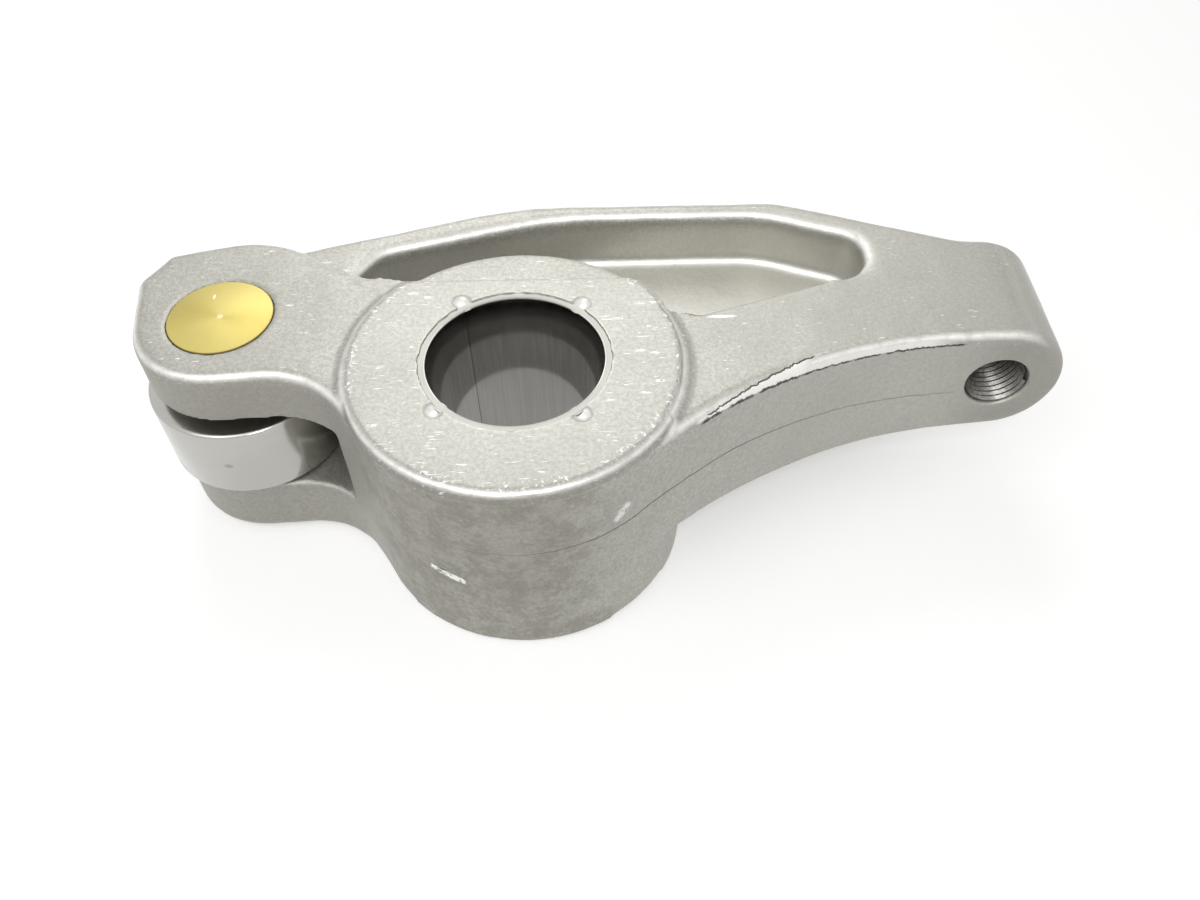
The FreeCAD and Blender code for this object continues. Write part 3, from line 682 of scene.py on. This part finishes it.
def scratchesOn(steel):
    look = steelLook
    scored = steel.both(
        steel.ramp(steel.cloud(1.0, 2.0, 0.5, steel.mapped((0.2, 2.0, 2.0), turn=6)), 0.65, 0.70),
        steel.ramp(steel.cloud(9.0, 2.0), 0.45, 0.6), steel.upperSide,
        steel.ramp(steel.fromBore, 37.0, 41.0, 1.0, 0.3))
    nicks = steel.both(
        steel.ramp(steel.cloud(0.9, 2.0, 0.5, steel.mapped((0.35, 2.0, 2.0), turn=-20)), 0.68, 0.72),
        steel.ramp(steel.cloud(14.0, 1.0), 0.45, 0.55), steel.upperSide)
    dent = steel.most(*(steel.spot(*mark) for mark in look["dent"]))
    dent = steel.both(dent, steel.ramp(steel.cloud(0.8, 4.0, 0.7), 0.35, 0.5))
    flecks = steel.both(
        steel.ramp(steel.cloud(0.9, 3.0), 0.58, 0.64), steel.band(steel.fromBore, 35.4, 1.0, 0.8),
        steel.ramp(steel.z, 26.8, 27.2), steel.ramp(steel.cloud(11.0, 1.0), 0.42, 0.5))
    ragged = steel.ramp(steel.cloud(0.5, 3.0), 0.42, 0.52)
    for knock in look["knocks"]:
        flecks = steel.most(flecks, steel.both(steel.spot(knock, 0.1, 0.45, (0.32, 1, 0.3)), ragged))
    return steel.most(steel.times(flecks, 0.75), steel.times(scored, 0.8), steel.times(nicks, 0.7),
                      steel.times(dent, 0.7), steel.spot(look["scratch"], 0.3, 0.25, (0.14, 1, 0.4)))


def wornAndLitEdges(steel):  # edges rubbed bright mixed with painted highlights, with a painted highlight on the bore's rim and on the stake marks
    fromPin = steel.fromAxis(pinAxis)
    offBosses = steel.both(steel.ramp(steel.fromBore, 34.6, 35.6), steel.ramp(fromPin, 13.0, 13.6))
    uneven = steel.ramp(steel.cloud(2.5, 4.0, 0.6), 0.25, 0.6, 0.6, 1.0)
    rubbedSheen = steel.both(steel.painted("rubbedSheen"), offBosses, uneven)
    # painted highlight: a thin bright line round the bore's rim
    rimHighlight = steel.both(steel.band(steel.fromBore, 20.9, 0.1, 0.3), steel.ramp(steel.z, 26.5, 27.0))
    rubbedSheen = steel.most(rubbedSheen, steel.times(rimHighlight, 0.12))
    # painted highlight: a bright spot on each stake mark
    circle = stakeLook["markCircle"]
    for turn in stakeLook["turns"]:
        angle = math.radians(turn)
        place = (circle * math.cos(angle), circle * math.sin(angle), 27.4)
        rubbedSheen = steel.most(rubbedSheen, steel.times(steel.spot(place, stakeLook["markRadius"], 0.8), 0.7))
    return rubbedSheen


def forgedSteel():
    steel = ForgedFinish()
    seam = partingSeam(steel)
    # flakes carries the lap's flakes and the painted highlight beside them
    cracks, flakes = lapMarks(steel)
    gougeLip, gougeShade = gougeMarks(steel)
    rubbedSheen = wornAndLitEdges(steel)
    tone = steel.tint(greyOf(steel), seam, steel.ramp(steel.x, 35, 80, 0.85, 0.35), steelLook["seam"])
    # bright marks: real scratches, nicks and flakes, and rubbed edges mixed with painted highlights
    bright = steel.most(scratchesOn(steel), gougeLip, flakes, rubbedSheen)
    tone = steel.tint(tone, bright, 0.9, steelLook["bright"])
    # painted shade: a dark spot for a small pit, which the skin has no hollow for
    pitShade = steel.spot(steelLook["pitShade"], 0.6, 0.5, (0.45, 0.8, 0.8))
    dark = steel.most(steel.times(cracks, 0.92), steel.times(gougeShade, 0.7), pitShade)
    tone = steel.blend(dark, tone, steelLook["dark"])

    roughness = steel.ramp(steel.grain, 0.3, 0.7, 0.36, 0.52, smooth=False)
    roughness = steel.minus(roughness, steel.times(steel.machined, 0.06))
    roughness = steel.plus(roughness, steel.times(steel.smudge, 0.08))
    roughness = steel.minus(roughness, steel.times(rubbedSheen, 0.10))

    height = steel.plus(steel.times(steel.grain, 0.5), steel.times(steel.cloud(1.2, 3.0, 0.6), 0.5))
    height = steel.times(height, steel.ramp(steel.machined, 0.0, 1.0, 1.0, 0.55))
    cut = steel.times(steel.most(cracks, seam), -1.0)
    return steel.dress(tone, roughness, steel.relief(cut, 0.25, steel.relief(height, 0.10)))


finishPiece(forging, "rocker", "forged_steel", forgedSteel(), "rocker_body")


# The bush, with its bright bore and a thin dark upright line down it

def levelCircle(place, radius):  # picks the level edges at a radius round an upright axis
    def onCircle(a, b):
        away = [math.hypot(p.x / mm - place[0], p.y / mm - place[1]) - radius for p in (a, b)]
        return abs(a.z - b.z) < 1e-7 and all(abs(off) < 0.02 for off in away)
    return onCircle


def ringPiece(name, look):
    low, high = look["ends"]
    deselectAll()
    bpy.ops.mesh.primitive_cylinder_add(
        vertices=look["sides"], radius=look["outer"] * mm, depth=(high - low) * mm,
        location=(look["place"][0] * mm, look["place"][1] * mm, (low + high) / 2 * mm))
    ring = bpy.context.object
    ring.name = ring.data.name = name
    settle(ring)
    bpy.ops.object.mode_set(mode="EDIT")
    bpy.ops.mesh.select_mode(type="FACE")
    pickFaces(ring, lambda face: abs(face.normal.z) > 0.9)
    bpy.ops.mesh.inset(thickness=(look["outer"] - look["inner"]) * mm)
    bpy.ops.mesh.delete(type="FACE")
    pickEdges(ring, levelCircle(look["place"], look["inner"]))
    bpy.ops.mesh.bridge_edge_loops()
    bpy.ops.object.mode_set(mode="OBJECT")
    return ring


def roundEnds(ring, place, radius, width, segments):
    takeUp(ring)
    bpy.ops.object.mode_set(mode="EDIT")
    pickEdges(ring, levelCircle(place, radius))
    bpy.ops.mesh.bevel(offset=width * mm, segments=segments, affect="EDGES")
    bpy.ops.object.mode_set(mode="OBJECT")


bushLook = {
    "place": shaftAxis,
    "outer": 20.8,
    "inner": 19.05,
    "ends": (-27.6, 27.6),
    "mouth": 0.4,
    "sides": 192,
    "darkLineTurn": 128.0,
    "streaks": ((0.43, 0.42, 0.405), (0.49, 0.48, 0.465)),
    "seam": (0.10, 0.095, 0.09),
    "endTone": (0.36, 0.354, 0.325),
}


def burnishedBore():
    look = bushLook
    bright = Finish("burnishedBore", 1.0)
    streaks = bright.cloud(1.0, 4.0, 0.6, bright.mapped((1.6, 1.6, 0.04)))
    tone = bright.blend(bright.ramp(streaks, 0.35, 0.7), *look["streaks"])
    turn = math.radians(look["darkLineTurn"])
    # a thin dark upright line down the bore
    beside = bright.vector("DOT_PRODUCT", bright.place, (-math.sin(turn), math.cos(turn), 0))
    ahead = bright.vector("DOT_PRODUCT", bright.place, (math.cos(turn), math.sin(turn), 0))
    seam = bright.both(bright.band(beside, 0.0, 0.05, 0.15), bright.ramp(ahead, 5, 6))
    tone = bright.tint(tone, seam, 0.7, look["seam"])
    end = bright.both(bright.ramp(bright.math("ABSOLUTE", bright.z), 27.1, 27.3),
                      bright.ramp(bright.fromAxis(look["place"]), 19.3, 19.5))
    tone = bright.blend(end, tone, look["endTone"])
    roughness = bright.ramp(bright.cloud(9.0, 3.0), 0.3, 0.7, 0.08, 0.12)
    roughness = bright.plus(roughness, bright.times(end, 0.33))
    return bright.dress(tone, roughness, bright.relief(streaks, 0.0006))


bush = ringPiece("shaftBush", bushLook)
roundEnds(bush, bushLook["place"], bushLook["inner"], bushLook["mouth"], 2)
finishPiece(bush, "rocker", "bush_steel", burnishedBore(), "shaft_bush")


def makeStakeLips():  # metal that each punch pushed over the bush
    lips = []
    for turn in stakeLook["turns"]:
        angle = math.radians(turn)
        circle = stakeLook["circle"]
        place = Vector((circle * math.cos(angle), circle * math.sin(angle), stakeLook["height"]))
        deselectAll()
        bpy.ops.mesh.primitive_uv_sphere_add(segments=24, ring_count=12, radius=mm, location=place * mm)
        lip = bpy.context.object
        lip.scale = stakeLook["size"]
        lip.rotation_euler.z = angle
        settle(lip)
        lips.append(lip)
    deselectAll()
    for lip in lips:
        lip.select_set(True)
    bpy.context.view_layer.objects.active = lips[0]
    bpy.ops.object.join()
    lips[0].name = lips[0].data.name = "stakeLips"
    return lips[0]


finishPiece(makeStakeLips(), "rocker", "forged_steel", forging.data.materials[0])


# The thread in the boss

threadLook = {
    "pitch": 1.5,
    "root": 7.12,
    "crest": 6.19,
    "from": 6.2,
    "to": 38.4,
    "steps": 48,
    "tones": ((0.20, 0.195, 0.18), (0.38, 0.37, 0.35)),
}


def makeThread():
    look = threadLook
    rise = look["root"] - look["crest"]
    middle = (look["root"] + look["crest"]) / 2
    start = Vector((screwLook["x"], look["from"] + look["pitch"] / 2, screwLook["z"]))
    deselectAll()
    bpy.ops.mesh.primitive_circle_add(vertices=4, radius=mm, location=start * mm)
    ridge = bpy.context.object
    ridge.name = ridge.data.name = "screwThread"
    bpy.ops.object.mode_set(mode="EDIT")
    bpy.ops.mesh.select_all(action="SELECT")
    bpy.ops.transform.resize(value=(rise / 2, look["pitch"] * 0.49, 1))
    bpy.ops.transform.translate(value=(middle * mm, 0, 0))
    bpy.ops.object.mode_set(mode="OBJECT")
    for corner in ridge.data.vertices:  # flat crest and root, slanted flanks
        if corner.co.x > middle * mm + 1e-6:
            corner.co.y = 0
    turns = int((look["to"] - look["from"]) / look["pitch"]) - 1
    runModifier(ridge, "SCREW", axis="Y", screw_offset=look["pitch"] * mm, angle=2 * math.pi,
                iterations=turns, steps=look["steps"], render_steps=look["steps"], use_smooth_shade=True)
    settle(ridge)
    bpy.ops.object.mode_set(mode="EDIT")
    bpy.ops.mesh.select_mode(type="EDGE")
    bpy.ops.mesh.select_all(action="SELECT")
    bpy.ops.mesh.remove_doubles(threshold=0.0005 * mm)
    bpy.ops.mesh.select_all(action="DESELECT")
    bpy.ops.mesh.select_non_manifold()
    bpy.ops.mesh.edge_face_add()
    bpy.ops.mesh.select_all(action="SELECT")
    bpy.ops.mesh.normals_make_consistent(inside=False)
    bpy.ops.object.mode_set(mode="OBJECT")
    return ridge


def cutSteel():
    cut = Finish("cutSteel", 1.0)
    lines = cut.cloud(0.5, 3.0, 0.6)
    tone = cut.blend(cut.ramp(lines, 0.3, 0.7), *threadLook["tones"])
    return cut.dress(tone, cut.ramp(lines, 0.3, 0.7, 0.28, 0.4), cut.relief(lines, 0.03))


finishPiece(makeThread(), "rocker", "forged_steel", cutSteel())


# The roller and its pin

rollerLook = {
    "place": pinAxis,
    "outer": 21.4,
    "inner": 11.88,
    "ends": (-9.8, 9.95),
    "edge": 0.9,
    "sides": 192,
    "tones": ((0.47, 0.465, 0.44), (0.485, 0.48, 0.455)),
    "spotTone": (0.2, 0.19, 0.17),
    "spot": (-67.7, -5.6, 0),
}


def groundSteel():
    ground = Finish("groundSteel", 1.0)
    rings = ground.cloud(1.0, 2.0, 0.6, ground.mapped((0.06, 0.06, 2.6)))
    tone = ground.blend(ground.ramp(rings, 0.35, 0.65), *rollerLook["tones"])
    spots = ground.most(ground.ramp(ground.cloud(1.6, 2.0), 0.72, 0.78),
                        ground.spot(rollerLook["spot"], 0.3, 0.6, (0.6, 1, 1)))
    tone = ground.tint(tone, spots, 0.5, rollerLook["spotTone"])
    roughness = ground.ramp(ground.cloud(6.0, 3.0), 0.3, 0.7, 0.17, 0.21)
    return ground.dress(tone, roughness, ground.relief(rings, 0.0001))


roller = ringPiece("camRoller", rollerLook)
roundEnds(roller, rollerLook["place"], rollerLook["outer"], rollerLook["edge"], 4)
finishPiece(roller, "roller", "roller_steel", groundSteel(), "cam_roller")

pinLook = {
    "place": pinAxis,
    "radius": 11.83,
    "half": 26.8,
    "edge": 0.3,
    "centre": 0.55,
    "sides": 128,
    "tones": ((0.52, 0.43, 0.125), (0.62, 0.525, 0.175)),
    "dull": (0.58, 0.48, 0.15),
    "rim": (0.16, 0.11, 0.04),
    "lit": (0.95, 0.93, 0.75),
    "glint": (-69.3, 22.4, 26.8),
    "sheenAcross": (0.25, 0.97, 0),
}


def makePin():
    look = pinLook
    deselectAll()
    bpy.ops.mesh.primitive_cylinder_add(
        vertices=look["sides"], radius=look["radius"] * mm, depth=2 * look["half"] * mm,
        location=(look["place"][0] * mm, look["place"][1] * mm, 0))
    pin = bpy.context.object
    pin.name = pin.data.name = "rollerPin"
    settle(pin)
    roundEnds(pin, look["place"], look["radius"], look["edge"], 2)
    bpy.ops.object.mode_set(mode="EDIT")
    bpy.ops.mesh.select_mode(type="FACE")
    pickFaces(pin, lambda face: abs(face.normal.z) > 0.9 and len(face.vertices) > 4)
    bpy.ops.mesh.inset(thickness=(look["radius"] - look["edge"] - look["centre"]) * mm)
    bpy.ops.mesh.inset(thickness=0.3 * look["centre"] * mm, depth=-look["centre"] * mm)
    bpy.ops.object.mode_set(mode="OBJECT")
    return pin


def pinBronze():
    look = pinLook
    bronze = Finish("pinBronze", 0.85)
    fromPin = bronze.fromAxis(look["place"])
    turned = bronze.cloud(0.25, 3.0, 0.6, bronze.onLine(fromPin))
    across = bronze.vector("DOT_PRODUCT", bronze.offAxis(look["place"]), look["sheenAcross"])
    sheen = bronze.math("DIVIDE", bronze.math("ABSOLUTE", across), bronze.plus(fromPin, 0.3))
    tone = bronze.blend(bronze.ramp(sheen, 0.0, 0.9), *look["tones"])
    tone = bronze.tint(tone, bronze.ramp(bronze.cloud(1.6, 5.0, 0.65), 0.4, 0.65), 0.35, look["dull"])
    rim = bronze.ramp(fromPin, look["radius"] - 0.32, look["radius"] - 0.12)
    tone = bronze.tint(tone, rim, 0.75, look["rim"])
    glint = bronze.spot(look["glint"], 0.12, 0.25, (1, 0.35, 1))
    lit = bronze.most(bronze.ramp(fromPin, 0.45, 0.75, 1.0, 0.0), glint)
    tone = bronze.blend(lit, tone, look["lit"])
    return bronze.dress(tone, bronze.ramp(turned, 0.3, 0.7, 0.38, 0.46), bronze.relief(turned, 0.008))


finishPiece(makePin(), "rocker", "pin_bronze", pinBronze(), "roller_pin")
